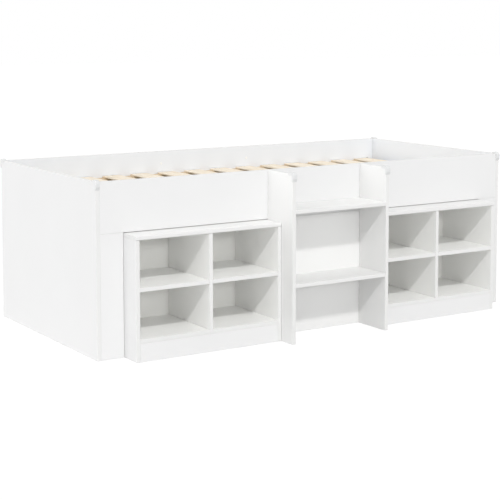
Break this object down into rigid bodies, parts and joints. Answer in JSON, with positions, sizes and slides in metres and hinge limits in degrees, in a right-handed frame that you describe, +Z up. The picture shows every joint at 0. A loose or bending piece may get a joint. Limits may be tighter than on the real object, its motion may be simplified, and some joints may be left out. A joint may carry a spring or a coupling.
{
  "type": "low loft bed with bookcases",
  "caption": "Low loft bed of plain boards with middle steps, a slatted base sunk between the rails, and open cube bookcases that stand in bays under it.",
  "frame": {"origin": "on the floor, at the middle of the object's footprint", "axes": "+X along the bed, to the right seen from the front; -Y out of the front, where the steps are; +Z up"},
  "size_m": [2.0436, 1.1366, 0.6987],
  "materials": {
    "white_board": "white melamine-faced chipboard with matching edge band, satin",
    "white_back_board": "white-faced hardboard, matt",
    "pine": "bare planed pine",
    "grey_plastic": "soft light-grey plastic",
    "zinc": "zinc-plated and die-cast"
  },
  "bodies": {
    "bed_frame": {"left_end_panel": "white_board", "left_front_filler": "white_board", "left_steps_side": "white_board", "right_end_panel": "white_board", "right_front_filler": "white_board", "right_steps_side": "white_board", "front_rail": "white_board", "back_rail": "white_board", "lower_back_rail": "white_board", "middle_panel": "white_board", "lower_tread": "white_board", "upper_tread": "white_board", "front_slat_batten": "pine", "back_slat_batten": "pine", "slat_01": "pine", "slat_02": "pine", "slat_03": "pine", "slat_04": "pine", "slat_05": "pine", "slat_06": "pine", "slat_07": "pine", "slat_08": "pine", "slat_09": "pine", "slat_10": "pine", "slat_11": "pine", "slat_12": "pine", "slat_13": "pine", "slat_14": "pine", "left_front_corner_guard": "grey_plastic", "left_rear_corner_guard": "grey_plastic", "left_steps_corner_guard": "grey_plastic", "right_front_corner_guard": "grey_plastic", "right_rear_corner_guard": "grey_plastic", "right_steps_corner_guard": "grey_plastic", "left_front_connector_bolt": "zinc", "left_front_connector_cam": "zinc", "left_back_connector_bolt": "zinc", "left_back_connector_cam": "zinc", "right_front_connector_bolt": "zinc", "right_front_connector_cam": "zinc", "right_back_connector_bolt": "zinc", "right_back_connector_cam": "zinc"},
    "left_bookcase": {"left_bookcase_outer_side": "white_board", "left_bookcase_inner_side": "white_board", "left_bookcase_top": "white_board", "left_bookcase_bottom": "white_board", "left_bookcase_divider": "white_board", "left_bookcase_outer_shelf": "white_board", "left_bookcase_inner_shelf": "white_board", "left_bookcase_plinth": "white_board", "left_bookcase_back": "white_back_board"},
    "right_bookcase": {"right_bookcase_outer_side": "white_board", "right_bookcase_inner_side": "white_board", "right_bookcase_top": "white_board", "right_bookcase_bottom": "white_board", "right_bookcase_divider": "white_board", "right_bookcase_outer_shelf": "white_board", "right_bookcase_inner_shelf": "white_board", "right_bookcase_plinth": "white_board", "right_bookcase_back": "white_back_board"}
  },
  "joints": [
    {"name": "left_bookcase_slide", "type": "slide", "parent": "bed_frame", "child": "left_bookcase", "axis": [0, -1, 0], "range_m": [0, 0.237]},
    {"name": "right_bookcase_slide", "type": "slide", "parent": "bed_frame", "child": "right_bookcase", "axis": [0, -1, 0], "range_m": [0, 0.237]}
  ]
}
